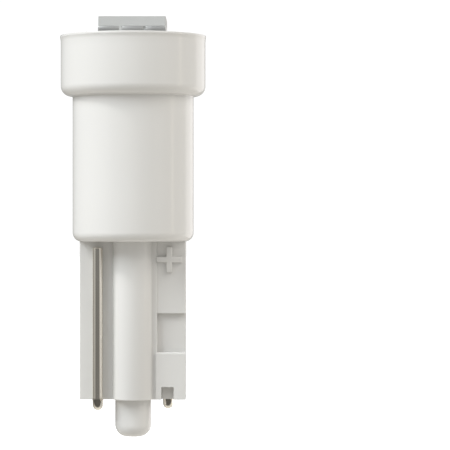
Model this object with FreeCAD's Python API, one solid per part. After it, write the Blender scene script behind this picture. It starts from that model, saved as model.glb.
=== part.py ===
import FreeCAD, Part
import math
import os

V = FreeCAD.Vector
UP = V(0, 0, 1)

# Instrument-panel lamp: a moulded wedge-base housing with a board, an LED and two contact wires.
# Millimetres. The origin is on the lamp's axis, in the plane of the barrel's underside, which seats
# on the socket. +Z points to the LED. The face with the moulded plus sign looks towards -Y.

# ---- driving dimensions: barrel and head ----
BARREL_R = 2.635
BARREL_LENGTH = 6.32
BARREL_WALL = 0.385
BARREL_FLOOR = 0.90
BARREL_EDGE_R = 0.39
HEAD_STEP = 0.515
HEAD_LENGTH = 2.63
HEAD_WALL = 0.40
HEAD_EDGE_R = 0.44
RIM_LIP = 0.03
RIM_LIP_HEIGHT = 0.17
RIM_LIP_SLOPE = 0.05

# ---- driving dimensions: wedge blade ----
BLADE_WIDTH = 4.60
BLADE_LENGTH = 6.84
WEB_THICKNESS = 1.20
RIB_R = 0.86
RIB_OFFSET = 0.52
LEDGE_WIDTH = 0.20
LEDGE_RISE = 0.13
PLATE_RISE = 0.06
POCKET_TOP = 3.10
POCKET_LENGTH = 1.69
POCKET_DEPTH = 0.25
BLOCK_RISE = 0.20
BLOCK_LAP = 0.06
NOTCH_WIDTH = 0.53
NOTCH_HEIGHT = 0.55
NOTCH_DEPTH = 0.55
MARK_HEIGHT = 1.11
MARK_WIDTH = 1.11
MARK_BAR = 0.25
MARK_RISE = 0.15
MARK_DROP = 0.775
MARK_SIDE = 1.59
PIP_R = 0.784
PIP_LENGTH = 1.64
PIP_EDGE_R = 0.52

# ---- driving dimensions: contact wires ----
WIRE_R = 0.22
WIRE_SIDE = 1.51
WIRE_INNER_OFFSET = 0.15
WIRE_FACE_GAP = 0.01
WIRE_TOP_DROP = 0.265
WIRE_BELOW_BLADE = 0.47
WIRE_CLEARANCE = 0.03
WIRE_JOG_R = 1.20
WIRE_JOG_START = 0.50
WIRE_PROUD = 0.20

# ---- driving dimensions: circuit board ----
BOARD_CLEARANCE = 0.05
BOARD_THICKNESS = 0.80
BOARD_SINK = 0.05
COPPER = 0.035
PLATING = 0.03
RING_R = 0.35
RING_EDGE_GAP = 0.01
TRACK_WIDTH = 0.26
VIA_R = 0.12

# ---- driving dimensions: LED package ----
LED_SIZE = 2.96
LED_SOLDER = 0.03
LEAD_THICKNESS = 0.30
LEAD_INSET = 0.02
LEAD_GAP = 0.12
CATHODE_GAP_X = -0.50
ANODE_GAP_X = 0.53
GAP_FILL_SETBACK = 0.20
CUP_HEIGHT = 0.435
CUP_FLOOR_R = 0.95
CUP_MOUTH_R = 1.20
CUP_CORNER_CUT = 0.12
PHOSPHOR_SINK = 0.02
CHIP_SIZE = 0.90
CHIP_THICKNESS = 0.15
BOND_THICKNESS = 0.06
BOND_WIDTH = 0.08
BOND_RISE = 0.12
BOND_INSET = 0.12
BOND_REACH = 0.30

# ---- driving dimensions: resistor and diode under the board ----
PART_SIDE = 1.15
PART_SOLDER = 0.025
RESISTOR_LENGTH = 2.00
RESISTOR_WIDTH = 1.25
RESISTOR_HEIGHT = 0.50
TERMINATION_LENGTH = 0.35
TERMINATION_SKIN = 0.05
OVERCOAT_THICKNESS = 0.04
DIODE_LENGTH = 1.65
DIODE_WIDTH = 1.20
DIODE_HEIGHT = 0.85
DIODE_STANDOFF = 0.05
DIODE_SPAN = 2.40
DIODE_LEAD_WIDTH = 0.30
DIODE_LEAD_THICKNESS = 0.12
DIODE_LEAD_GRIP = 0.25
SOLDER_TOE = 0.15
SOLDER_CLIMB = 0.22

# ---- levels and radii that follow ----
HEAD_R = BARREL_R + HEAD_STEP
CAVITY_R = BARREL_R - BARREL_WALL
RECESS_R = HEAD_R - HEAD_WALL
BOARD_R = RECESS_R - BOARD_CLEARANCE
RIM_Z = BARREL_LENGTH + HEAD_LENGTH
BOARD_TOP = RIM_Z - BOARD_SINK
BOARD_BOTTOM = BOARD_TOP - BOARD_THICKNESS
TOP_COPPER = BOARD_TOP + COPPER
BOTTOM_COPPER = BOARD_BOTTOM - COPPER
PART_Z = BOTTOM_COPPER - PART_SOLDER
LEAD_BOTTOM = TOP_COPPER + LED_SOLDER
LEAD_TOP = LEAD_BOTTOM + LEAD_THICKNESS

WEB_FACE = WEB_THICKNESS / 2
PLATE_FACE = WEB_FACE + PLATE_RISE
LEDGE_FACE = WEB_FACE + LEDGE_RISE
BLOCK_FACE = WEB_FACE + BLOCK_RISE
LEDGE_END = RIB_R + LEDGE_WIDTH
BLADE_SIDE = BLADE_WIDTH / 2
BLADE_ROOT = BARREL_FLOOR / 2
POCKET_BOTTOM = POCKET_TOP + POCKET_LENGTH

WIRE_OUTER_Y = WEB_FACE + WIRE_FACE_GAP + WIRE_R
WIRE_BEND_Y = (WIRE_OUTER_Y + WIRE_INNER_OFFSET) / 2
WIRE_BEND_R = (WIRE_OUTER_Y - WIRE_INNER_OFFSET) / 2
WIRE_BEND_Z = WIRE_BEND_R + WIRE_R - BLADE_LENGTH - WIRE_BELOW_BLADE
WIRE_HOLE_R = WIRE_R + WIRE_CLEARANCE
WIRE_TOP_X = CAVITY_R - RING_R - RING_EDGE_GAP
BOARD_HOLE_R = WIRE_HOLE_R + PLATING

LEAD_EDGE = LED_SIZE / 2 - LEAD_INSET
CATHODE_X = (-LEAD_EDGE, CATHODE_GAP_X - LEAD_GAP / 2)
THERMAL_X = (CATHODE_GAP_X + LEAD_GAP / 2, ANODE_GAP_X - LEAD_GAP / 2)
ANODE_X = (ANODE_GAP_X + LEAD_GAP / 2, LEAD_EDGE)
CHIP_X = sum(THERMAL_X) / 2
VIA_X = sum(CATHODE_X) / 2
SAME_POINT = 1e-6


# ---- helpers ----
def block(x, y, z):
    """A box between two values on each axis."""
    return Part.makeBox(x[1] - x[0], y[1] - y[0], z[1] - z[0], V(x[0], y[0], z[0]))


def rod(radius, z, x=0, y=0):
    """An upright cylinder between two levels."""
    return Part.makeCylinder(radius, z[1] - z[0], V(x, y, z[0]), UP)


def turned_round(shape):
    """The same shape, half a turn round the lamp's axis."""
    copy = shape.copy()
    copy.rotate(V(0, 0, 0), UP, 180)
    return copy


def both_faces(*shapes):
    """Each shape and its half-turn copy: the blade's two faces are alike."""
    return list(shapes) + [turned_round(shape) for shape in shapes]


def quarter(centre, radius, start, stop):
    """Three points of an arc in the XZ plane; degrees run from +X towards +Z."""
    points = []
    for angle in (start, (start + stop) / 2, stop):
        a = math.radians(angle)
        points.append(V(centre[0] + radius * math.cos(a), 0, centre[1] + radius * math.sin(a)))
    return points


def outline(*steps):
    """A closed wire through (x, z) points and three-point arcs, joined by straight edges."""
    spans = [step if isinstance(step, list) else [V(step[0], 0, step[1])] for step in steps]
    edges = []
    for span, following in zip(spans, spans[1:] + spans[:1]):
        if len(span) == 3:
            edges.append(Part.Arc(*span).toShape())
        if span[-1].distanceToPoint(following[0]) > SAME_POINT:
            edges.append(Part.makeLine(span[-1], following[0]))
    return Part.Wire(edges)


def revolved(*steps):
    """The solid that an outline in the XZ plane sweeps about the Z axis."""
    return Part.Face(outline(*steps)).revolve(V(0, 0, 0), UP, 360)


def extruded(y, *steps):
    """An outline in the XZ plane, given depth between two values of Y."""
    face = Part.Face(outline(*steps))
    face.translate(V(0, y[0], 0))
    return face.extrude(V(0, y[1] - y[0], 0))


def joined(shapes):
    """One solid from overlapping solids, with its coplanar faces merged."""
    return shapes[0].multiFuse(shapes[1:]).removeSplitter()


def straight(radius, start, end):
    """A round bar from one point to another."""
    along = end - start
    return Part.makeCylinder(radius, along.Length, start, along)


def bent(radius, start, centre, axis, degrees):
    """A round bar that turns about an axis through a centre."""
    disc = Part.Face(Part.Wire(Part.makeCircle(radius, start, axis.cross(start - centre))))
    return disc.revolve(centre, axis, degrees)


# ---- housing ----
def barrel_and_head():
    """The hollow round body: barrel, wider head, rim lip, wiring cavity and board recess."""
    edge = min(BARREL_EDGE_R, BARREL_FLOOR)
    head_edge = min(HEAD_EDGE_R, 0.9 * HEAD_STEP)
    lip_r = HEAD_R + RIM_LIP
    lip_z = RIM_Z - RIM_LIP_HEIGHT
    return revolved(
        (0, 0),
        quarter((BARREL_R - edge, edge), edge, -90, 0),
        (BARREL_R, BARREL_LENGTH),
        quarter((HEAD_R - head_edge, BARREL_LENGTH + head_edge), head_edge, -90, 0),
        (HEAD_R, lip_z - RIM_LIP_SLOPE),
        (lip_r, lip_z),
        (lip_r, RIM_Z),
        (RECESS_R, RIM_Z),
        (RECESS_R, BOARD_BOTTOM),
        (CAVITY_R, BOARD_BOTTOM),
        (CAVITY_R, BARREL_FLOOR),
        (0, BARREL_FLOOR),
    )


def locating_pip():
    """The round nose under the blade."""
    top = -BLADE_LENGTH + PIP_EDGE_R
    bottom = -BLADE_LENGTH - PIP_LENGTH
    edge = min(PIP_EDGE_R, 0.9 * PIP_R)
    return revolved(
        (0, top),
        (0, bottom),
        quarter((PIP_R - edge, bottom + edge), edge, -90, 0),
        (PIP_R, top),
    )


def plus_mark():
    """The raised plus sign beside the positive wire."""
    face = (-PLATE_FACE - MARK_RISE, -PLATE_FACE + MARK_RISE)
    half_bar = MARK_BAR / 2
    upright = block(
        (MARK_SIDE - half_bar, MARK_SIDE + half_bar),
        face,
        (-MARK_DROP - MARK_HEIGHT / 2, -MARK_DROP + MARK_HEIGHT / 2),
    )
    crossbar = block(
        (MARK_SIDE - MARK_WIDTH / 2, MARK_SIDE + MARK_WIDTH / 2),
        face,
        (-MARK_DROP - half_bar, -MARK_DROP + half_bar),
    )
    return [upright, crossbar]


def wire_hook(radius, top):
    """The half turn under the blade and the leg up inside it, on the negative side."""
    outer_foot = V(-WIRE_SIDE, -WIRE_OUTER_Y, WIRE_BEND_Z)
    inner_foot = V(-WIRE_SIDE, -WIRE_INNER_OFFSET, WIRE_BEND_Z)
    inner_top = V(-WIRE_SIDE, -WIRE_INNER_OFFSET, top)
    centre = V(-WIRE_SIDE, -WIRE_BEND_Y, WIRE_BEND_Z)
    turn = bent(radius, outer_foot, centre, V(1, 0, 0), 180)
    return [turn, straight(radius, inner_foot, inner_top)]


def wire_channel():
    """The hole through the blade and floor for the negative wire, rounded under the blade."""
    return joined(wire_hook(WIRE_HOLE_R, BARREL_FLOOR + WIRE_JOG_START))


def housing():
    """The white moulded body, from the rim to the locating pip."""
    height = (-BLADE_LENGTH, BLADE_ROOT)
    web = block((-BLADE_SIDE, BLADE_SIDE), (-WEB_FACE, WEB_FACE), height)
    rib = Part.makeCylinder(RIB_R, BLADE_ROOT + BLADE_LENGTH, V(0, -RIB_OFFSET, -BLADE_LENGTH), UP)
    ledge = block((0, LEDGE_END), (-LEDGE_FACE, 0), height)
    plate = block((0, BLADE_SIDE), (-PLATE_FACE, 0), (-POCKET_TOP, BLADE_ROOT))
    catch = block(
        (LEDGE_END - BLOCK_LAP, BLADE_SIDE), (-BLOCK_FACE, 0), (-BLADE_LENGTH, -POCKET_BOTTOM)
    )
    body = joined(
        [barrel_and_head(), web, locating_pip()] + both_faces(rib, ledge, plate, catch) + plus_mark()
    )
    pocket = block(
        (LEDGE_END, BLADE_SIDE + HEAD_STEP),
        (-BLOCK_FACE - HEAD_STEP, -PLATE_FACE + POCKET_DEPTH),
        (-POCKET_BOTTOM, -POCKET_TOP),
    )
    notch = block(
        (WIRE_SIDE - NOTCH_WIDTH / 2, WIRE_SIDE + NOTCH_WIDTH / 2),
        (-BLOCK_FACE - HEAD_STEP, -BLOCK_FACE + NOTCH_DEPTH),
        (-BLADE_LENGTH - PIP_LENGTH, -BLADE_LENGTH + NOTCH_HEIGHT),
    )
    return body.cut(both_faces(pocket, notch, wire_channel()))


# ---- contact wires ----
def negative_contact_wire():
    """Outer contact leg, bend under the blade, leg inside the blade, jog, and leg through the board."""
    jog_z = BARREL_FLOOR + WIRE_JOG_START
    shift = WIRE_TOP_X - WIRE_SIDE
    out = math.copysign(1, shift)
    swing = math.acos(1 - abs(shift) / (2 * WIRE_JOG_R))
    jog_top_z = jog_z + 2 * WIRE_JOG_R * math.sin(swing)
    turn = out * math.degrees(swing)
    across = V(0, 1, 0)
    lower_start = V(-WIRE_SIDE, -WIRE_INNER_OFFSET, jog_z)
    lower_centre = lower_start - V(out * WIRE_JOG_R, 0, 0)
    upper_end = V(-WIRE_TOP_X, -WIRE_INNER_OFFSET, jog_top_z)
    upper_centre = upper_end + V(out * WIRE_JOG_R, 0, 0)
    leg_top = V(-WIRE_SIDE, -WIRE_OUTER_Y, -WIRE_TOP_DROP)
    leg_foot = V(-WIRE_SIDE, -WIRE_OUTER_Y, WIRE_BEND_Z)
    board_end = V(-WIRE_TOP_X, -WIRE_INNER_OFFSET, BOARD_TOP + WIRE_PROUD)
    return joined(
        [straight(WIRE_R, leg_top, leg_foot)]
        + wire_hook(WIRE_R, jog_z)
        + [
            bent(WIRE_R, lower_start, lower_centre, across, -turn),
            bent(WIRE_R, upper_end, upper_centre, across, -turn),
            straight(WIRE_R, upper_end, board_end),
        ]
    )


def wire_solder_joints():
    """A solder fillet on both sides of the board round each wire, joined through its plated hole."""
    joint = revolved(
        (WIRE_R, BOTTOM_COPPER - SOLDER_CLIMB),
        (RING_R, BOTTOM_COPPER),
        (WIRE_HOLE_R, BOTTOM_COPPER),
        (WIRE_HOLE_R, TOP_COPPER),
        (RING_R, TOP_COPPER),
        (WIRE_R, BOARD_TOP + WIRE_PROUD - SOLDER_TOE / 3),
    )
    joint.translate(V(WIRE_TOP_X, WIRE_INNER_OFFSET, 0))
    return both_faces(joint)


# ---- circuit board ----
def board_core():
    """The round glass-epoxy board, with two wire holes and one via."""
    disc = rod(BOARD_R, (BOARD_BOTTOM, BOARD_TOP))
    hole = rod(BOARD_HOLE_R, (BOARD_BOTTOM, BOARD_TOP), WIRE_TOP_X, WIRE_INNER_OFFSET)
    via = rod(VIA_R, (BOARD_BOTTOM, BOARD_TOP), VIA_X, -PART_SIDE)
    return disc.cut(both_faces(hole) + [via])


def board_hole_plating():
    """Copper sleeves in the wire holes, and the filled via."""
    span = (BOTTOM_COPPER, TOP_COPPER)
    sleeve = rod(BOARD_HOLE_R, span, WIRE_TOP_X, WIRE_INNER_OFFSET)
    bore = rod(WIRE_HOLE_R, span, WIRE_TOP_X, WIRE_INNER_OFFSET)
    via = rod(VIA_R, (BOARD_BOTTOM, BOARD_TOP), VIA_X, -PART_SIDE)
    return both_faces(sleeve.cut(bore)) + [via]


def ring_pad(z, shapes=()):
    """The copper ring round the positive wire's hole, with copper that belongs to the same net."""
    ring = rod(RING_R, z, WIRE_TOP_X, WIRE_INNER_OFFSET)
    hole = rod(BOARD_HOLE_R, z, WIRE_TOP_X, WIRE_INNER_OFFSET)
    return joined([ring, *shapes]).cut(hole) if shapes else ring.cut(hole)


def led_pad(x, z):
    """A plate as large as one of the LED's three leads."""
    return block(x, (-LEAD_EDGE, LEAD_EDGE), z)


def board_top_copper():
    """The LED's three pads and the two wire rings; the positive ring feeds the anode pad."""
    z = (BOARD_TOP, TOP_COPPER)
    bridge = block(
        (ANODE_X[1] - TRACK_WIDTH, WIRE_TOP_X),
        (WIRE_INNER_OFFSET - TRACK_WIDTH / 2, WIRE_INNER_OFFSET + TRACK_WIDTH / 2),
        z,
    )
    anode_net = ring_pad(z, [led_pad(ANODE_X, z), bridge])
    return [anode_net, led_pad(THERMAL_X, z), led_pad(CATHODE_X, z), turned_round(ring_pad(z))]


def track(start, end, z):
    """A straight copper track between two (x, y) points."""
    run = math.hypot(end[0] - start[0], end[1] - start[1])
    bar = Part.makeBox(run, TRACK_WIDTH, z[1] - z[0], V(0, -TRACK_WIDTH / 2, z[0]))
    bar.rotate(V(0, 0, 0), UP, math.degrees(math.atan2(end[1] - start[1], end[0] - start[0])))
    bar.translate(V(start[0], start[1], 0))
    return bar


def end_pad(side, reach, half_width, row, z):
    """The copper land under one end of the resistor or the diode."""
    near = reach - TERMINATION_LENGTH
    far = reach + SOLDER_TOE
    x = (near, far) if side > 0 else (-far, -near)
    return block(x, (row - half_width, row + half_width), z)


def board_bottom_copper():
    """Lands for the resistor and the diode, the track between them, and the two wire rings."""
    z = (BOTTOM_COPPER, BOARD_BOTTOM)
    half_resistor = RESISTOR_WIDTH / 2 - TERMINATION_SKIN
    resistor_reach = RESISTOR_LENGTH / 2
    diode_reach = DIODE_SPAN / 2
    led_side = end_pad(-1, resistor_reach, half_resistor, -PART_SIDE, z)
    resistor_out = end_pad(1, resistor_reach, half_resistor, -PART_SIDE, z)
    diode_in = end_pad(1, diode_reach, DIODE_LEAD_WIDTH, PART_SIDE, z)
    diode_out = end_pad(-1, diode_reach, DIODE_LEAD_WIDTH, PART_SIDE, z)
    link = track((resistor_reach, -PART_SIDE), (resistor_reach, PART_SIDE), z)
    to_ring = track((-diode_reach, PART_SIDE), (-WIRE_TOP_X, -WIRE_INNER_OFFSET), z)
    mirrored = [turned_round(to_ring), turned_round(diode_out)]
    negative_net = turned_round(ring_pad(z, mirrored))
    return [led_side, joined([resistor_out, link, diode_in]), negative_net, ring_pad(z)]


# ---- LED package ----
def led_solder():
    """The three solder layers between the board's pads and the LED's leads."""
    z = (TOP_COPPER, LEAD_BOTTOM)
    return [led_pad(x, z) for x in (CATHODE_X, THERMAL_X, ANODE_X)]


def led_lead(x):
    """One of the three strips of the LED's lead frame."""
    return led_pad(x, (LEAD_BOTTOM, LEAD_TOP))


def gap_fill(x, reach):
    """Moulding that runs down between two leads."""
    return block((x - LEAD_GAP / 2, x + LEAD_GAP / 2), (-reach, reach), (LEAD_BOTTOM, LEAD_TOP))


def led_cup():
    """The square white cup, with its tapered well and one cut corner on the anode side."""
    half = LED_SIZE / 2
    cut = LED_SIZE / 2 - CUP_CORNER_CUT
    corners = [(-half, -half), (half, -half), (half, cut), (cut, half), (-half, half)]
    ring = [V(x, y, LEAD_TOP) for x, y in corners]
    cup = Part.Face(Part.makePolygon(ring + ring[:1])).extrude(V(0, 0, CUP_HEIGHT))
    well = Part.makeCone(CUP_FLOOR_R, CUP_MOUTH_R, CUP_HEIGHT, V(0, 0, LEAD_TOP), UP)
    fills = [
        gap_fill(CATHODE_GAP_X, LEAD_EDGE),
        gap_fill(ANODE_GAP_X, LEAD_EDGE - GAP_FILL_SETBACK),
    ]
    return joined([cup.cut(well)] + fills)


def led_chip():
    """The light-emitting die, on the middle lead."""
    half = CHIP_SIZE / 2
    return block((CHIP_X - half, CHIP_X + half), (-half, half), (LEAD_TOP, LEAD_TOP + CHIP_THICKNESS))


def led_bond_wires():
    """Two fine gold ribbons from the die to the outer leads, each a low bridge."""
    chip_top = LEAD_TOP + CHIP_THICKNESS
    top = chip_top + BOND_RISE
    near = CHIP_X + CHIP_SIZE / 2 - BOND_INSET
    far = CHIP_X + CHIP_SIZE / 2 + BOND_REACH
    ribbon = extruded(
        (-BOND_WIDTH / 2, BOND_WIDTH / 2),
        (near, chip_top),
        (near + BOND_RISE, top),
        (far - BOND_RISE, top),
        (far, LEAD_TOP),
        (far - BOND_THICKNESS, LEAD_TOP),
        (far - BOND_RISE - BOND_THICKNESS / 2, top - BOND_THICKNESS),
        (near + BOND_RISE + BOND_THICKNESS / 2, top - BOND_THICKNESS),
        (near + BOND_THICKNESS, chip_top),
    )
    return [ribbon, ribbon.mirror(V(CHIP_X, 0, 0), V(1, 0, 0))]


def led_phosphor():
    """The yellow phosphor silicone that fills the well round the die and the bond wires."""
    depth = CUP_HEIGHT - PHOSPHOR_SINK
    taper = (CUP_MOUTH_R - CUP_FLOOR_R) / CUP_HEIGHT
    fill = Part.makeCone(CUP_FLOOR_R, CUP_FLOOR_R + taper * depth, depth, V(0, 0, LEAD_TOP), UP)
    return fill.cut([led_chip()] + led_bond_wires())


# ---- resistor and diode ----
def resistor_box(length, width, z):
    """A box centred on the resistor's place under the board."""
    return block((-length / 2, length / 2), (-PART_SIDE - width / 2, -PART_SIDE + width / 2), z)


def resistor_levels():
    """Lowest and highest level of the resistor's ceramic."""
    return (PART_Z - RESISTOR_HEIGHT + TERMINATION_SKIN, PART_Z - TERMINATION_SKIN)


def resistor_core():
    """The resistor's white ceramic block."""
    length = RESISTOR_LENGTH - 2 * TERMINATION_SKIN
    return resistor_box(length, RESISTOR_WIDTH, resistor_levels())


def resistor_terminations():
    """The two plated ends, each wrapped over the ceramic's top, end and underside."""
    skin = resistor_box(RESISTOR_LENGTH, RESISTOR_WIDTH, (PART_Z - RESISTOR_HEIGHT, PART_Z))
    middle = resistor_box(
        RESISTOR_LENGTH - 2 * TERMINATION_LENGTH, RESISTOR_WIDTH, (PART_Z - RESISTOR_HEIGHT, PART_Z)
    )
    return skin.cut([resistor_core(), middle]).Solids


def resistor_overcoat():
    """The dark glass over the resistive film, on the face away from the board."""
    low = resistor_levels()[0]
    length = RESISTOR_LENGTH - 2 * TERMINATION_LENGTH - TERMINATION_SKIN
    return resistor_box(length, RESISTOR_WIDTH - TERMINATION_SKIN, (low - OVERCOAT_THICKNESS, low))


def diode_leads():
    """The diode's two bent tin-plated leads."""
    body_half = DIODE_LENGTH / 2
    foot = DIODE_SPAN / 2
    y = (PART_SIDE - DIODE_LEAD_WIDTH / 2, PART_SIDE + DIODE_LEAD_WIDTH / 2)
    middle = PART_Z - DIODE_STANDOFF - DIODE_HEIGHT / 2
    knee = body_half + DIODE_LEAD_THICKNESS
    lead = extruded(
        y,
        (body_half - DIODE_LEAD_GRIP, middle),
        (knee, middle),
        (knee, PART_Z - DIODE_LEAD_THICKNESS),
        (foot, PART_Z - DIODE_LEAD_THICKNESS),
        (foot, PART_Z),
        (body_half, PART_Z),
        (body_half, middle + DIODE_LEAD_THICKNESS),
        (body_half - DIODE_LEAD_GRIP, middle + DIODE_LEAD_THICKNESS),
    )
    other = lead.mirror(V(0, 0, 0), V(1, 0, 0))
    return [lead, other]


def diode_body():
    """The diode's black moulded body."""
    top = PART_Z - DIODE_STANDOFF
    body = block(
        (-DIODE_LENGTH / 2, DIODE_LENGTH / 2),
        (PART_SIDE - DIODE_WIDTH / 2, PART_SIDE + DIODE_WIDTH / 2),
        (top - DIODE_HEIGHT, top),
    )
    return body.cut(diode_leads())


def component_solder():
    """A solder wedge at each end of the resistor and of the diode."""
    joints = []
    ends = (
        (RESISTOR_LENGTH / 2, RESISTOR_WIDTH / 2 - TERMINATION_SKIN, -PART_SIDE, SOLDER_CLIMB),
        (DIODE_SPAN / 2, DIODE_LEAD_WIDTH / 2, PART_SIDE, DIODE_LEAD_THICKNESS),
    )
    for reach, half_width, row, climb in ends:
        wedge = extruded(
            (row - half_width, row + half_width),
            (reach - TERMINATION_LENGTH, BOTTOM_COPPER),
            (reach + SOLDER_TOE, BOTTOM_COPPER),
            (reach, PART_Z - climb),
            (reach, PART_Z),
            (reach - TERMINATION_LENGTH, PART_Z),
        )
        joints += [wedge, wedge.mirror(V(0, 0, 0), V(1, 0, 0))]
    return joints


# ---- nodes ----
NODES = {
    "housing": housing(),
    "negative_contact_wire": negative_contact_wire(),
    "positive_contact_wire": turned_round(negative_contact_wire()),
    "wire_solder_joints": wire_solder_joints(),
    "board_core": board_core(),
    "board_hole_plating": board_hole_plating(),
    "board_top_copper": board_top_copper(),
    "board_bottom_copper": board_bottom_copper(),
    "led_solder": led_solder(),
    "led_anode_lead": led_lead(ANODE_X),
    "led_thermal_lead": led_lead(THERMAL_X),
    "led_cathode_lead": led_lead(CATHODE_X),
    "led_cup": led_cup(),
    "led_chip": led_chip(),
    "led_bond_wires": led_bond_wires(),
    "led_phosphor": led_phosphor(),
    "resistor_core": resistor_core(),
    "resistor_terminations": resistor_terminations(),
    "resistor_overcoat": resistor_overcoat(),
    "diode_body": diode_body(),
    "diode_leads": diode_leads(),
    "component_solder": component_solder(),
}

os.makedirs("parts", exist_ok=True)
for name, shape in NODES.items():
    solids = shape if isinstance(shape, list) else shape.Solids
    whole = solids[0] if len(solids) == 1 else Part.makeCompound(solids)
    whole.exportStep(f"parts/{name}.step")
    print(name, len(solids), [round(s.Volume, 4) for s in solids], whole.isValid())
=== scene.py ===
import math

import bmesh
import bpy
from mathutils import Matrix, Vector


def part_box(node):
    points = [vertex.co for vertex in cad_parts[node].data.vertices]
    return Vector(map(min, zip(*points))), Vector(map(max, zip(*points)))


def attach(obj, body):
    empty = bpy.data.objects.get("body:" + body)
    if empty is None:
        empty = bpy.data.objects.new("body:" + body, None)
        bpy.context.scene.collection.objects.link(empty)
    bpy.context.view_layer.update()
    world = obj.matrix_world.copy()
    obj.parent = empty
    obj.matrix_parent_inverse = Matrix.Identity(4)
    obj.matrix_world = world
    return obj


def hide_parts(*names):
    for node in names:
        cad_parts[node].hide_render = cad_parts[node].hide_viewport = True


# A small white wedge-base lamp with one square LED on top: new meshes, finishes and a plain studio.
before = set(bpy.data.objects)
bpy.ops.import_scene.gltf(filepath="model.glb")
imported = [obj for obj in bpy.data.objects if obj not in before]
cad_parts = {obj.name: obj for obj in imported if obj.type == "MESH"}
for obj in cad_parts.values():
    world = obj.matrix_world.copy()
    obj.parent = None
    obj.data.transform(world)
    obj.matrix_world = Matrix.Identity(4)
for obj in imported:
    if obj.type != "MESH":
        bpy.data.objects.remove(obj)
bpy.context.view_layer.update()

MM = 0.001

# ---- places read from the frame ----
housing_low, housing_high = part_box("housing")
board_low, board_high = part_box("board_core")
cup_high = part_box("led_cup")[1]
lead_low, lead_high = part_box("led_anode_lead")
negative_low, negative_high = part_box("negative_contact_wire")
copper_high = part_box("board_top_copper")[1]
joint_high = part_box("wire_solder_joints")[1]

# ---- housing sizes, metres ----
BARREL_R = 2.635 * MM
BARREL_TOP = 6.32 * MM
BARREL_EDGE_R = 0.39 * MM
BARREL_FLOOR = 0.90 * MM
CAVITY_R = 2.25 * MM
HEAD_R = 3.15 * MM
HEAD_EDGE_R = 0.44 * MM
NECK_R = 0.05 * MM
RIM_Z = housing_high.z
LIP_R = housing_high.x
LIP_HEIGHT = 0.12 * MM
LIP_SLOPE = 0.15 * MM
LIP_EDGE_R = 0.03 * MM
LIP_GUARD = 0.30 * MM
RECESS_R = 2.75 * MM
BLADE_SIDE = 2.30 * MM
BLADE_Z = -6.84 * MM
BLADE_ROOT = 0.45 * MM
WEB_FACE = 0.60 * MM
PLATE_FACE = 0.66 * MM
LEDGE_FACE = 0.73 * MM
CATCH_FACE = 0.80 * MM
RIB_R = 0.86 * MM
RIB_Y = 0.52 * MM
LEDGE_X = 1.06 * MM
CATCH_X = 1.00 * MM
POCKET_TOP = -3.10 * MM
POCKET_BOTTOM = -4.79 * MM
POCKET_FACE = 0.41 * MM
NOTCH_HALF = 0.265 * MM
NOTCH_TOP = -6.29 * MM
NOTCH_FACE = 0.25 * MM
MARK_X = 1.59 * MM
MARK_Z = -0.775 * MM
MARK_HALF = 0.555 * MM
MARK_BAR = 0.125 * MM
MARK_FACE = 0.81 * MM
MARK_EDGE = 0.03 * MM
PIP_R = 0.784 * MM
PIP_EDGE_R = 0.52 * MM
PIP_ROOT = 0.30 * MM
PIP_Z = housing_low.z
SMALL_EDGE = 0.035 * MM
CATCH_EDGE = 0.09 * MM

# ---- contact wire sizes ----
WIRE_R = 0.22 * MM
WIRE_X = 1.51 * MM
WIRE_OUTER_Y = 0.83 * MM
WIRE_INNER_Y = 0.15 * MM
WIRE_BEND_R = (WIRE_OUTER_Y - WIRE_INNER_Y) / 2
WIRE_BEND_Z = negative_low.z + WIRE_BEND_R + WIRE_R
WIRE_TOP = -0.265 * MM
WIRE_CHANNEL_R = 0.25 * MM
WIRE_CUT_EDGE = 0.025 * MM
JOG_START = 1.40 * MM
JOG_R = 1.20 * MM

# ---- board and solder sizes ----
BOARD_WIRE_X = 1.89 * MM
BOARD_EDGE = 0.02 * MM
BOARD_RIM = 0.03 * MM
HOLE_R = 0.28 * MM
PAD_R = 0.35 * MM
SOLDER_SINK = 0.002 * MM
SOLDER_FOOT = 0.012 * MM

# ---- LED sizes ----
LED_HALF = cup_high.x
WELL_FLOOR_R = 0.95 * MM
WELL_MOUTH_R = 1.20 * MM
LEAD_TOP = lead_high.z
CUP_TOP = cup_high.z
CUP_EDGE = 0.02 * MM
LEAD_EDGE = 0.025 * MM
LEAD_STEP = 0.03 * MM
CUP_CORNER = 0.12 * MM
CUP_SETBACK = 0.07 * MM
PHOSPHOR_SINK = 0.02 * MM
PHOSPHOR_GAP = 0.012 * MM
MENISCUS = 0.03 * MM

# ---- mesh settings ----
ROUND = 160
SMALL_ROUND = 96
WIRE_ROUND = 48
SHARP_ANGLE = math.radians(28)
SAME_PLACE = 0.002 * MM
MERGE_DISTANCE = 0.0005 * MM


# ---- modelling helpers ----
def clear_selection():
    """Leaves edit mode and deselects every object."""
    if bpy.context.mode != "OBJECT":
        bpy.ops.object.mode_set(mode="OBJECT")
    bpy.ops.object.select_all(action="DESELECT")


def make_active(piece):
    """Selects one piece alone."""
    clear_selection()
    piece.select_set(True)
    bpy.context.view_layer.objects.active = piece


def edit(piece):
    """Enters edit mode on one piece, to choose edges."""
    make_active(piece)
    bpy.ops.object.mode_set(mode="EDIT")
    bpy.ops.mesh.select_mode(type="EDGE")


def leave_edit():
    bpy.ops.object.mode_set(mode="OBJECT")


def outward(piece):
    """Turns every normal outwards."""
    edit(piece)
    bpy.ops.mesh.select_all(action="SELECT")
    bpy.ops.mesh.normals_make_consistent(inside=False)
    leave_edit()
    return piece


def settle(piece, name):
    """Names a finished piece and puts its place into its mesh."""
    make_active(piece)
    bpy.ops.object.transform_apply(location=True, rotation=True, scale=True)
    piece.name = name
    piece.data.name = name
    return piece


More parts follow.
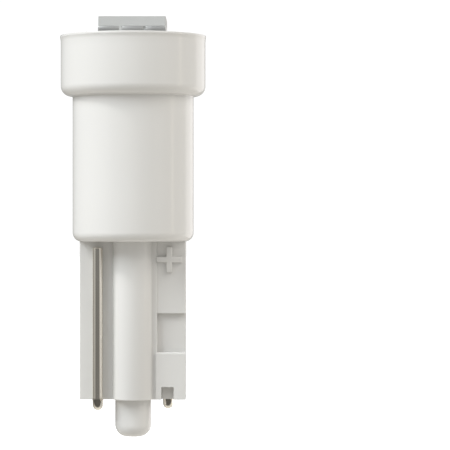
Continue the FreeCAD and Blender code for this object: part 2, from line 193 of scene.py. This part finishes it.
def box(x, y, z):
    """A cube primitive between two values on each axis."""
    clear_selection()
    bpy.ops.mesh.primitive_cube_add(size=1, location=[sum(pair) / 2 for pair in (x, y, z)])
    piece = bpy.context.object
    piece.scale = [pair[1] - pair[0] for pair in (x, y, z)]
    return settle(piece, "box")


def cylinder(radius, z, x, y, sides):
    """A cylinder primitive between two heights, at a place."""
    clear_selection()
    place = (x, y, (z[0] + z[1]) / 2)
    bpy.ops.mesh.primitive_cylinder_add(vertices=sides, radius=radius, depth=z[1] - z[0], location=place)
    return settle(bpy.context.object, "cylinder")


def arc(r, z, radius, start, stop, steps):
    """Points (r, z) of an arc, in degrees from outwards towards up."""
    angles = [math.radians(start + (stop - start) * i / steps) for i in range(steps + 1)]
    return [(r + radius * math.cos(a), z + radius * math.sin(a)) for a in angles]


def disc(radius, place, sides):
    """Starts a piece as a filled circle and leaves it in edit mode, all selected."""
    clear_selection()
    bpy.ops.mesh.primitive_circle_add(vertices=sides, radius=radius, fill_type="NGON", location=place)
    piece = bpy.context.object
    bpy.ops.object.mode_set(mode="EDIT")
    return piece


def extrude(step):
    """Extrudes the selected disc by a step along Z and leaves the new disc selected."""
    bpy.ops.mesh.extrude_region_move(TRANSFORM_OT_translate={"value": (0, 0, step)})


def widen(ratio, centre):
    """Resizes the selected disc in its own plane."""
    bpy.ops.transform.resize(value=(ratio, ratio, 1), center_override=centre)


def lathe(name, rings, x=0, y=0, sides=ROUND):
    """A round solid: a disc is extruded and resized from ring to ring, and the last disc closes it."""
    radius, level = rings[0]
    piece = disc(radius, (x, y, level), sides)
    for next_radius, next_level in rings[1:]:
        extrude(next_level - level)
        widen(next_radius / radius, (x, y, next_level))
        radius, level = next_radius, next_level
    leave_edit()
    return outward(settle(piece, name))


def bevel_edges(piece, width, segments, chosen):
    """Rounds the sharp edges whose two ends pass a test."""
    edit(piece)
    bpy.ops.mesh.select_all(action="DESELECT")
    mesh = bmesh.from_edit_mesh(piece.data)
    for edge in mesh.edges:
        sharp = edge.calc_face_angle(0) > SHARP_ANGLE
        if sharp and all(chosen(corner.co) for corner in edge.verts):
            edge.select_set(True)
    bmesh.update_edit_mesh(piece.data)
    bpy.ops.mesh.bevel(offset=width, segments=segments, profile=0.5, affect="EDGES", clamp_overlap=True)
    leave_edit()
    return piece


def near(value, target):
    """True where a coordinate lies at a value."""
    return abs(value - target) < SAME_PLACE


def half_turn(piece):
    """A copy with its own mesh, half a turn round the lamp's axis."""
    copy = piece.copy()
    copy.data = piece.data.copy()
    bpy.context.collection.objects.link(copy)
    copy.scale = (-1, -1, 1)
    return settle(copy, piece.name)


def both_faces(*pieces):
    """The pieces of the front face, and the same again for the back."""
    return list(pieces) + [half_turn(piece) for piece in pieces]


def combine(piece, others, operation):
    """Applies one exact boolean per operand and removes the operands."""
    for other in others:
        make_active(piece)
        modifier = piece.modifiers.new("combine", "BOOLEAN")
        modifier.operation = operation
        modifier.solver = "EXACT"
        modifier.object = other
        bpy.ops.object.modifier_apply(modifier=modifier.name)
        bpy.data.objects.remove(other)
    return piece


def tidy(piece):
    """Merges doubled points and dissolves needless edges in flat faces."""
    edit(piece)
    bpy.ops.mesh.select_all(action="SELECT")
    bpy.ops.mesh.remove_doubles(threshold=MERGE_DISTANCE)
    bpy.ops.mesh.dissolve_degenerate(threshold=MERGE_DISTANCE)
    bpy.ops.mesh.select_all(action="SELECT")
    bpy.ops.mesh.normals_make_consistent(inside=False)
    leave_edit()
    return piece


def smooth(piece, degrees=30):
    """Smooth shading in which flat faces stay flat."""
    make_active(piece)
    bpy.ops.object.shade_smooth_by_angle(angle=math.radians(degrees))
    modifier = piece.modifiers.new("even", "WEIGHTED_NORMAL")
    modifier.keep_sharp = True
    bpy.ops.object.modifier_apply(modifier=modifier.name)
    return piece


# ---- contact wire, on the negative side ----
def spin(centre, axis, degrees, steps):
    """Sweeps the selected disc about an axis and leaves the last disc selected."""
    bpy.ops.mesh.spin(steps=steps, angle=math.radians(degrees), center=centre, axis=axis)


def wire_shape(name, radius, full):
    """The bar down the blade, round its edge and up inside it; the full one runs on to the board."""
    top = WIRE_TOP if full else WIRE_BEND_Z
    chamfer = WIRE_CUT_EDGE if full else 0
    piece = disc(radius - chamfer, (-WIRE_X, -WIRE_OUTER_Y, top), WIRE_ROUND)
    if full:
        extrude(-chamfer)
        widen(radius / (radius - chamfer), (-WIRE_X, -WIRE_OUTER_Y, top - chamfer))
        extrude(WIRE_BEND_Z - top + chamfer)
    middle = -(WIRE_OUTER_Y + WIRE_INNER_Y) / 2
    spin((-WIRE_X, middle, WIRE_BEND_Z), (1, 0, 0), -180, 24)
    extrude(JOG_START - WIRE_BEND_Z)
    if full:
        shift = BOARD_WIRE_X - WIRE_X
        swing = math.degrees(math.acos(1 - shift / (2 * JOG_R)))
        rise = 2 * JOG_R * math.sin(math.radians(swing))
        lower = (-WIRE_X - JOG_R, -WIRE_INNER_Y, JOG_START)
        spin(lower, (0, 1, 0), swing, 8)
        upper = (-BOARD_WIRE_X + JOG_R, -WIRE_INNER_Y, JOG_START + rise)
        spin(upper, (0, 1, 0), -swing, 8)
        extrude(negative_high.z - JOG_START - rise)
    leave_edit()
    return outward(settle(piece, name))


# ---- housing ----
def barrel_rings():
    """Rings of the round body: underside, barrel, head, rim lip, board recess and wiring cavity."""
    lip_z = RIM_Z - LIP_HEIGHT
    e = LIP_EDGE_R
    rings = arc(BARREL_R - BARREL_EDGE_R, BARREL_EDGE_R, BARREL_EDGE_R, -90, 0, 12)
    rings += [(BARREL_R, BARREL_TOP * share) for share in (0.3, 0.6, 0.9)]
    rings += arc(BARREL_R + NECK_R, BARREL_TOP - NECK_R, NECK_R, 180, 90, 4)
    rings += arc(HEAD_R - HEAD_EDGE_R, BARREL_TOP + HEAD_EDGE_R, HEAD_EDGE_R, -90, 0, 12)
    rings += [(HEAD_R, lip_z - LIP_SLOPE - LIP_GUARD), (HEAD_R, lip_z - LIP_SLOPE)]
    rings += arc(LIP_R - e, lip_z + e, e, -45, 0, 3)
    rings += arc(LIP_R - e, RIM_Z - e, e, 0, 90, 4)
    rings += arc(RECESS_R + e, RIM_Z - e, e, 90, 180, 4)
    rings += [(RECESS_R, board_low.z), (CAVITY_R, board_low.z), (CAVITY_R, BARREL_FLOOR)]
    return rings


def plus_mark():
    """The raised plus sign beside the positive wire."""
    face = (-MARK_FACE, -WEB_FACE)
    bar = (MARK_X - MARK_BAR, MARK_X + MARK_BAR)
    wide = (MARK_X - MARK_HALF, MARK_X + MARK_HALF)
    upright = box(bar, face, (MARK_Z - MARK_HALF, MARK_Z + MARK_HALF))
    crossbar = box(wide, face, (MARK_Z - MARK_BAR, MARK_Z + MARK_BAR))
    mark = combine(upright, [crossbar], "UNION")
    return bevel_edges(mark, MARK_EDGE, 3, lambda c: near(c.y, -MARK_FACE))


def build_housing():
    """The moulded body: round barrel and head, ribbed blade with its catches, and the pip."""
    body = lathe("housing_shell", barrel_rings())
    full = (BLADE_Z, BLADE_ROOT)
    side = (-BLADE_SIDE, BLADE_SIDE)
    web = box(side, (-WEB_FACE, WEB_FACE), full)
    bevel_edges(web, SMALL_EDGE, 3, lambda c: near(abs(c.x), BLADE_SIDE))
    rib = cylinder(RIB_R, full, 0, -RIB_Y, SMALL_ROUND)
    bevel_edges(rib, SMALL_EDGE, 3, lambda c: c.z < 0)
    ledge = box((0, LEDGE_X), (-LEDGE_FACE, 0), full)
    bevel_edges(ledge, SMALL_EDGE, 3, lambda c: near(c.x, LEDGE_X) and c.y < -WEB_FACE)
    plate = box((0, BLADE_SIDE), (-PLATE_FACE, 0), (POCKET_TOP, BLADE_ROOT))
    bevel_edges(plate, SMALL_EDGE, 3, lambda c: near(c.x, BLADE_SIDE) and c.y < -WEB_FACE)
    catch = box((CATCH_X, BLADE_SIDE), (-CATCH_FACE, 0), (BLADE_Z, POCKET_BOTTOM))
    bevel_edges(catch, CATCH_EDGE, 5, lambda c: near(c.z, POCKET_BOTTOM) and near(c.y, -CATCH_FACE))
    pip_rings = [(PIP_R, BLADE_Z + PIP_ROOT)]
    pip_rings += arc(PIP_R - PIP_EDGE_R, PIP_Z + PIP_EDGE_R, PIP_EDGE_R, 0, -90, 16)
    pip = lathe("pip", pip_rings, sides=SMALL_ROUND)
    combine(body, [web] + both_faces(rib, ledge, plate, catch) + [pip, plus_mark()], "UNION")

    outside = LIP_R
    pocket = box((LEDGE_X, outside), (-outside, -POCKET_FACE), (POCKET_BOTTOM, POCKET_TOP))
    notch_width = (WIRE_X - NOTCH_HALF, WIRE_X + NOTCH_HALF)
    notch = box(notch_width, (-outside, -NOTCH_FACE), (PIP_Z, NOTCH_TOP))
    channel = wire_shape("channel", WIRE_CHANNEL_R, False)
    combine(body, both_faces(pocket, notch, channel), "DIFFERENCE")
    return smooth(tidy(body))


body = build_housing()
negative_wire = smooth(wire_shape("negative_wire_bar", WIRE_R, True))
positive_wire = half_turn(negative_wire)
positive_wire.name = "positive_wire_bar"


# ---- LED ----
def build_cup():
    """The square cup with its tapered well, a cut corner and the moulding between the leads."""
    half = LED_HALF - LEAD_STEP
    cup = box((-half, half), (-half, half), (LEAD_TOP, CUP_TOP))
    bevel_edges(cup, CUP_CORNER, 1, lambda c: near(c.x, half) and near(c.y, half))
    bevel_edges(cup, CUP_EDGE, 3, lambda c: True)
    well_rings = [(WELL_FLOOR_R, LEAD_TOP - MENISCUS), (WELL_FLOOR_R, LEAD_TOP)]
    well_rings += [(WELL_MOUTH_R, CUP_TOP), (WELL_MOUTH_R, CUP_TOP + MENISCUS)]
    combine(cup, [lathe("well", well_rings, sides=SMALL_ROUND)], "DIFFERENCE")
    gaps = [("led_cathode_lead", "led_thermal_lead", 0)]
    gaps += [("led_thermal_lead", "led_anode_lead", CUP_SETBACK)]
    for left, right, setback in gaps:
        x = (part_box(left)[1].x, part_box(right)[0].x)
        reach = lead_high.y - setback
        fill = box(x, (-reach, reach), (lead_low.z, LEAD_TOP + 2 * CUP_EDGE))
        combine(cup, [fill], "UNION")
    cup = smooth(tidy(cup))
    cup.name = "led_reflector_cup"
    return cup


def build_phosphor():
    """The filling of the well, with the low rim that silicone leaves at a wall."""
    top = CUP_TOP - PHOSPHOR_SINK
    rings = [(WELL_FLOOR_R, LEAD_TOP), (WELL_MOUTH_R - PHOSPHOR_GAP, top)]
    for i in range(10):
        sag = MENISCUS * (1 - (1 - i / 9) ** 3)
        rings.append((WELL_MOUTH_R * (0.95 - 0.09 * i), top - sag))
    return smooth(lathe("led_phosphor_fill", rings, sides=SMALL_ROUND), 60)


def build_lead(node):
    """One strip of the lead frame, with rolled edges."""
    low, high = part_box(node)
    lead = box((low.x, high.x), (low.y, high.y), (low.z, high.z))
    bevel_edges(lead, LEAD_EDGE, 2, lambda c: True)
    lead.name = node + "_strip"
    return smooth(lead)


cup = build_cup()
phosphor = build_phosphor()
lead_nodes = ("led_anode_lead", "led_thermal_lead", "led_cathode_lead")
leads = {node: build_lead(node) for node in lead_nodes}


# ---- board and solder ----
def build_board():
    """The round board with its two wire holes."""
    radius = board_high.x
    rings = [(radius - BOARD_EDGE, board_low.z), (radius, board_low.z + BOARD_EDGE)]
    rings += [(radius, board_high.z - BOARD_EDGE), (radius - BOARD_EDGE, board_high.z)]
    board = lathe("board_disc", rings)
    through = (board_low.z - MM, board_high.z + MM)
    hole = cylinder(HOLE_R, through, BOARD_WIRE_X, WIRE_INNER_Y, WIRE_ROUND)
    return smooth(tidy(combine(board, both_faces(hole), "DIFFERENCE")))


def build_joint():
    """A concave solder fillet on the positive wire's ring, up to just below the wire's end."""
    foot = copper_high.z + SOLDER_FOOT
    neck_r = WIRE_R * 0.98
    rings = [(PAD_R, copper_high.z - SOLDER_SINK), (PAD_R, foot)]
    for i in range(1, 9):
        share = i / 8
        climb = (joint_high.z - foot) * share**2.2
        rings.append((PAD_R + (neck_r - PAD_R) * share, foot + climb))
    fillet = lathe("positive_wire_solder", rings, BOARD_WIRE_X, WIRE_INNER_Y, WIRE_ROUND)
    return smooth(fillet, 60)


board = build_board()
positive_joint = build_joint()
negative_joint = half_turn(positive_joint)
negative_joint.name = "negative_wire_solder"


# ---- finishes ----
class Field:
    """A value over a surface or the sky. Arithmetic on it adds Math nodes."""

    def __init__(self, shading, socket):
        self.shading = shading
        self.socket = socket

    def math(self, operation, *values):
        return self.shading.add("ShaderNodeMath", {"operation": operation}, dict(enumerate(values)))

    def __add__(self, other):
        return self.math("ADD", self, other)

    def __radd__(self, other):
        return self.math("ADD", other, self)

    def __sub__(self, other):
        return self.math("SUBTRACT", self, other)

    def __rsub__(self, other):
        return self.math("SUBTRACT", other, self)

    def __mul__(self, other):
        return self.math("MULTIPLY", self, other)

    def __rmul__(self, other):
        return self.math("MULTIPLY", other, self)

    def __abs__(self):
        return self.math("ABSOLUTE", self)

    def power(self, other):
        return self.math("POWER", self, other)

    def less(self, other):
        return self.math("LESS_THAN", self, other)

    def larger(self, other):
        return self.math("MAXIMUM", self, other)

    def sign(self):
        return self.math("SIGN", self)


class Shading:
    """The nodes of a material or of the sky."""

    def __init__(self, owner):
        owner.use_nodes = True
        self.tree = owner.node_tree
        self.tree.nodes.clear()

    def add(self, kind, settings=None, sockets=None, out=0):
        """Adds a node: its settings first, then the values or links of its sockets."""
        node = self.tree.nodes.new(kind)
        for key, value in (settings or {}).items():
            if key == "stops":
                for element, (place, colour) in zip(node.color_ramp.elements, value):
                    element.position = place
                    element.color = (*colour, 1)
            else:
                setattr(node, key, value)
        for key, value in (sockets or {}).items():
            if isinstance(value, Field):
                self.tree.links.new(value.socket, node.inputs[key])
            else:
                node.inputs[key].default_value = value
        return Field(self, node.outputs[out]) if node.outputs else None

    def axes(self, vector):
        """The X, Y and Z values of a vector."""
        node = self.add("ShaderNodeSeparateXYZ", None, {0: vector}).socket.node
        return [Field(self, socket) for socket in node.outputs]

    def mix(self, share, first, second):
        """A colour between two colours or colour fields."""

        def full(value):
            return value if isinstance(value, Field) else (*value, 1)

        sockets = {0: share, 6: full(first), 7: full(second)}
        return self.add("ShaderNodeMix", {"data_type": "RGBA"}, sockets, 2)


class Finish(Shading):
    """One material."""

    def __init__(self, name):
        self.material = bpy.data.materials.new(name)
        super().__init__(self.material)

    def place(self, stretch=(1, 1, 1)):
        """Object coordinates, stretched per axis."""
        here = self.add("ShaderNodeTexCoord", out=3)
        return self.add("ShaderNodeMapping", None, {"Vector": here, "Scale": stretch})

    def noise(self, scale, detail=2.0, stretch=(1, 1, 1)):
        """Noise with features about 1/scale metres across."""
        sockets = {"Vector": self.place(stretch), "Scale": scale, "Detail": detail, "Roughness": 0.55}
        return self.add("ShaderNodeTexNoise", None, sockets)

    def bands(self, axis, scale):
        """Soft parallel bands across one axis."""
        sockets = {"Vector": self.place(), "Scale": scale}
        return self.add("ShaderNodeTexWave", {"bands_direction": axis}, sockets)

    def blend(self, share, first, second):
        """A colour between two colours."""
        ramp = {"stops": [(0.0, first), (1.0, second)]}
        return self.add("ShaderNodeValToRGB", ramp, {0: share})

    def bump(self, height, distance):
        """The normal of a skin with fine relief, a distance deep."""
        return self.add("ShaderNodeBump", None, {"Height": height, "Distance": distance, "Strength": 1.0})

    def shade(self, sockets):
        """Ends the material in one Principled shader."""
        surface = self.add("ShaderNodeBsdfPrincipled", None, sockets)
        self.add("ShaderNodeOutputMaterial", None, {"Surface": surface})
        return self.material


def moulded_white(name, colour, roughness, warm):
    """Moulded plastic: faint cloudiness, a skin with fine ripple and a few soft scuffs."""
    f = Finish(name)
    cloud = f.noise(900, 3)
    skin = f.noise(9000, 2)
    scuff = f.noise(2600, 4, (1, 1, 0.25))
    tone = f.blend(cloud, colour, [c * w for c, w in zip(colour, warm)])
    rough = roughness + 0.06 * (cloud - 0.5) + 0.05 * (scuff - 0.5)
    ripple = f.bump(0.7 * skin + 0.3 * cloud, 0.0012 * MM)
    return f.shade({"Base Color": tone, "Roughness": rough, "Normal": ripple, "IOR": 1.5})


def drawn_metal(name, colour, dark, roughness, stretch, lines, depth):
    """Metal with fine lines along one axis, a depth in mm, and slightly darker tarnish between them."""
    f = Finish(name)
    line = f.noise(lines, 2, stretch)
    stain = f.noise(1500, 3)
    tone = f.blend(0.6 * stain + 0.4 * line, dark, colour)
    rough = roughness + 0.12 * (line - 0.5) + 0.10 * (stain - 0.5)
    groove = f.bump(line, depth * MM)
    return f.shade({"Base Color": tone, "Roughness": rough, "Metallic": 1.0, "Normal": groove})


def solder_finish():
    """Bright solder with a slightly grainy, wavy skin."""
    f = Finish("bright_solder")
    grain = f.noise(12000, 3)
    wave = f.noise(2500, 2)
    tone = f.blend(wave, (0.55, 0.56, 0.57), (0.78, 0.79, 0.80))
    rough = 0.22 + 0.2 * (grain - 0.5)
    skin = f.bump(0.5 * grain + wave, 0.006 * MM)
    return f.shade({"Base Color": tone, "Roughness": rough, "Metallic": 1.0, "Normal": skin})


def phosphor_finish():
    """Yellow phosphor grains in clear silicone, glossy on top."""
    f = Finish("phosphor_silicone")
    grain = f.noise(26000, 4)
    cloud = f.noise(2200, 2)
    tone = f.blend(0.65 * grain + 0.35 * cloud, (0.70, 0.45, 0.03), (0.84, 0.65, 0.10))
    skin = f.bump(cloud, 0.004 * MM)
    return f.shade({"Base Color": tone, "Roughness": 0.16 + 0.1 * cloud, "Normal": skin, "IOR": 1.41})


def board_finish():
    """White solder mask with the glass weave just showing, and the bare laminate on the rim."""
    f = Finish("white_solder_mask")
    on_rim = (f.axes(f.place())[2] - (board_high.z - BOARD_RIM)).less(0)
    weave_x, weave_y = (f.bands(axis, 1400.0) for axis in "XY")
    weave = weave_x * weave_y
    speck = f.noise(8000, 3)
    mask = f.blend(0.5 * weave + 0.5 * speck, (0.62, 0.63, 0.62), (0.70, 0.71, 0.695))
    laminate = f.blend(speck, (0.50, 0.47, 0.33), (0.68, 0.65, 0.50))
    tone = f.mix(on_rim, mask, laminate)
    skin = f.bump(weave + 0.4 * speck, 0.002 * MM)
    return f.shade({"Base Color": tone, "Roughness": 0.30 + 0.3 * on_rim, "Normal": skin})


def masked_copper_finish():
    """Foil under white mask, bare and tinned in the two rings round the wires."""
    f = Finish("masked_copper")
    x, y = f.axes(f.place())[:2]
    side = x.sign()
    from_wire = ((x - side * BOARD_WIRE_X).power(2) + (y - side * WIRE_INNER_Y).power(2)).power(0.5)
    ring = from_wire.less(PAD_R * 1.02)
    speck = f.noise(8000, 3)
    mask = f.blend(speck, (0.67, 0.68, 0.665), (0.73, 0.74, 0.72))
    tone = f.mix(ring, mask, (0.72, 0.72, 0.70))
    skin = f.bump(speck, 0.002 * MM)
    sockets = {"Base Color": tone, "Metallic": ring, "Roughness": 0.32 + 0.06 * speck, "Normal": skin}
    return f.shade(sockets)


def plain_finish(name, dark, light, roughness, metallic=0.0):
    """A grained surface between two close tones."""
    f = Finish(name)
    grain = f.noise(4000, 4)
    tone = f.blend(grain, dark, light)
    rough = roughness + 0.14 * (grain - 0.5)
    skin = f.bump(grain, 0.002 * MM)
    return f.shade({"Base Color": tone, "Roughness": rough, "Metallic": metallic, "Normal": skin})


housing_white = moulded_white("housing_gloss_white", (0.73, 0.725, 0.714), 0.15, (1.012, 1.01, 1.0))
cup_white = moulded_white("reflector_satin_white", (0.52, 0.525, 0.52), 0.60, (1.01, 1.01, 1.01))
wire_metal = drawn_metal(
    "tinned_drawn_wire", (0.95, 0.91, 0.83), (0.90, 0.85, 0.76), 0.12, (1, 1, 0.02), 14000, 0.0006
)
lead_metal = drawn_metal(
    "silver_plated_strip", (0.66, 0.66, 0.65), (0.57, 0.57, 0.56), 0.36, (0.05, 1, 1), 9000, 0.002
)
solder_metal = solder_finish()
phosphor_yellow = phosphor_finish()
mask_white = board_finish()
mask_copper = masked_copper_finish()
bare_copper = plain_finish("bare_copper", (0.70, 0.36, 0.22), (0.85, 0.50, 0.34), 0.30, 1.0)
gold_ribbon = plain_finish("gold_ribbon", (0.90, 0.62, 0.22), (1.0, 0.76, 0.34), 0.20, 1.0)
sapphire_die = plain_finish("sapphire_die", (0.20, 0.28, 0.50), (0.30, 0.40, 0.66), 0.12)
white_ceramic = plain_finish("white_ceramic", (0.80, 0.79, 0.76), (0.88, 0.87, 0.85), 0.55)
black_glass = plain_finish("black_overglaze", (0.015, 0.015, 0.018), (0.03, 0.03, 0.035), 0.15)
black_epoxy = plain_finish("black_epoxy", (0.02, 0.02, 0.02), (0.045, 0.045, 0.045), 0.60)


def dress(piece, material):
    """Gives a piece its one material."""
    piece.data.materials.clear()
    piece.data.materials.append(material)


# piece, CAD nodes that it stands for, record slot, finish
NEW_PIECES = [
    (body, ["housing"], "housing_plastic", housing_white),
    (negative_wire, ["negative_contact_wire"], "tinned_wire", wire_metal),
    (positive_wire, ["positive_contact_wire"], "tinned_wire", wire_metal),
    (cup, ["led_cup"], "led_plastic", cup_white),
    (phosphor, ["led_phosphor"], "phosphor", phosphor_yellow),
    (board, ["board_core"], "board_laminate", mask_white),
    (positive_joint, ["wire_solder_joints"], "solder", solder_metal),
    (negative_joint, ["wire_solder_joints"], "solder", solder_metal),
] + [(leads[node], [node], "lead_frame", lead_metal) for node in lead_nodes]
for piece, nodes, slot, material in NEW_PIECES:
    dress(piece, material)
    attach(piece, "root")
    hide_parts(*nodes)

KEPT_NODES = {
    "board_hole_plating": bare_copper,
    "board_top_copper": mask_copper,
    "board_bottom_copper": bare_copper,
    "led_solder": solder_metal,
    "led_chip": sapphire_die,
    "led_bond_wires": gold_ribbon,
    "resistor_core": white_ceramic,
    "resistor_terminations": solder_metal,
    "resistor_overcoat": black_glass,
    "diode_body": black_epoxy,
    "diode_leads": lead_metal,
    "component_solder": solder_metal,
}
for node, material in KEPT_NODES.items():
    dress(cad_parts[node], material)


# ---- stage, light and camera ----
FLOOR_Z = -0.04
FLOOR_SIZE = 6
LOW_SKY_TINT = (1.03, 0.995, 0.92)
HIGH_SKY_TINT = (0.97, 0.995, 1.02)
CAMERA_PLACE = (4.0 * MM, -106.3 * MM, 0.719 * MM)
CAMERA_LENS = 195.2


def toward(azimuth, elevation):
    """A direction: azimuth 0 is the camera's side, positive towards +X."""
    a, e = math.radians(azimuth), math.radians(elevation)
    return Vector((math.sin(a) * math.cos(e), -math.cos(a) * math.cos(e), math.sin(e)))


def aim(thing, direction):
    """Turns a light's back to a direction."""
    thing.rotation_euler = direction.to_track_quat("Z", "Y").to_euler()


def sun(name, azimuth, elevation, strength, spread, colour):
    """Light from one direction, spread over some degrees."""
    clear_selection()
    bpy.ops.object.light_add(type="SUN", location=toward(azimuth, elevation))
    light = bpy.context.object
    light.name = name
    light.data.energy = strength
    light.data.angle = math.radians(spread)
    light.data.color = colour
    aim(light, toward(azimuth, elevation))


def panel(name, azimuth, elevation, distance, size, power, colour):
    """A soft rectangular light that faces the lamp, in metres and watts."""
    clear_selection()
    bpy.ops.object.light_add(type="AREA", location=toward(azimuth, elevation) * distance)
    light = bpy.context.object
    light.name = name
    light.data.shape = "RECTANGLE"
    light.data.size, light.data.size_y = size
    light.data.energy = power
    light.data.color = colour
    aim(light, toward(azimuth, elevation))


def build_floor():
    """A plain pale floor, seen from above only, which neither lights nor shades the lamp."""
    clear_selection()
    bpy.ops.mesh.primitive_plane_add(size=FLOOR_SIZE, location=(0, 0, FLOOR_Z))
    floor = bpy.context.object
    floor.name = "studio_floor"
    f = Finish("studio_white")
    under_side = f.add("ShaderNodeNewGeometry", out="Backfacing")
    sockets = {
        "Base Color": f.blend(f.noise(40), (0.9, 0.9, 0.9), (0.93, 0.93, 0.93)),
        "Roughness": 0.9,
        "Emission Color": (1, 1, 1, 1),
        "Emission Strength": 0.8,
        "Alpha": 1 - under_side,
    }
    dress(floor, f.shade(sockets))
    floor.visible_diffuse = False
    floor.visible_glossy = False
    floor.visible_shadow = False


class Sky(Shading):
    """The soft light all round, whose strength changes with the direction."""

    def __init__(self, name):
        world = bpy.data.worlds.new(name)
        bpy.context.scene.world = world
        super().__init__(world)

    def step(self, value, start, stop, first, last):
        """A smooth step from one level to another, between two values."""
        sockets = {"Value": value, "From Min": start, "From Max": stop, "To Min": first, "To Max": last}
        return self.add("ShaderNodeMapRange", {"interpolation_type": "SMOOTHSTEP"}, sockets)


def build_sky():
    """Soft light that is dim straight in front and overhead, warm low down and white to the camera."""
    sky = Sky("studio")
    across, depth, height = sky.axes(sky.add("ShaderNodeTexCoord", out="Generated"))
    rise = sky.step(height, -0.5, 0.5, 0.80, 0.62)
    overhead = sky.step(height, 0.55, 0.95, 1.0, 0.15)
    off_horizon = sky.step(abs(height), 0.08, 0.40, 0.27, 1.0)
    off_front = sky.step(depth, -0.90, -0.60, 0.0, 0.75)
    back_left = sky.step(depth - across, 0.8, 1.35, 1.0, 0.5)
    level = rise * overhead * off_horizon.larger(off_front) * back_left
    # mirrored in shiny parts, the ground before the lamp is dark
    mirrored = sky.add("ShaderNodeLightPath", out="Is Glossy Ray")
    ground = sky.step(height, -0.35, 0.0, 0.12, 1.0).larger(sky.step(depth, -0.1, 0.5, 0.0, 1.0))
    ground = ground * sky.step(across, -0.9, -0.2, 0.85, 1.0)
    strength = level * (1 - mirrored + mirrored * ground)
    tint = sky.mix(sky.step(height, -0.5, 0.5, 0.0, 1.0), LOW_SKY_TINT, HIGH_SKY_TINT)
    lit = sky.add("ShaderNodeBackground", None, {"Color": tint, "Strength": strength})
    seen = sky.add("ShaderNodeBackground", None, {"Color": (1, 1, 1, 1), "Strength": 1.05})
    to_camera = sky.add("ShaderNodeLightPath", out="Is Camera Ray")
    choice = sky.add("ShaderNodeMixShader", None, {0: to_camera, 1: lit, 2: seen})
    sky.add("ShaderNodeOutputWorld", None, {"Surface": choice})


def place_camera():
    clear_selection()
    bpy.ops.object.camera_add(location=CAMERA_PLACE, rotation=(math.pi / 2, 0, 0))
    camera = bpy.context.object
    camera.data.sensor_width = 36
    camera.data.lens = CAMERA_LENS
    camera.data.clip_start = 0.005
    camera.data.clip_end = 20
    bpy.context.scene.camera = camera
    bpy.context.scene.view_settings.view_transform = "Standard"
    clear_selection()


build_floor()
build_sky()
sun("key", azimuth=-80, elevation=44.5, strength=0.92, spread=4, colour=(1, 0.96, 0.92))
panel("left_top", -57, 42, distance=0.5, size=(0.32, 0.32), power=2.1, colour=(0.96, 1.0, 1.02))
panel("right_top", 60, 42, distance=0.5, size=(0.32, 0.32), power=0.98, colour=(1, 0.95, 0.87))
panel("right_strip", 82, 2, distance=0.3, size=(0.018, 0.30), power=0.035, colour=(1, 0.87, 0.70))
panel("back_right", 140, 10, distance=0.5, size=(0.35, 0.60), power=0.62, colour=(1, 0.96, 0.96))
place_camera()
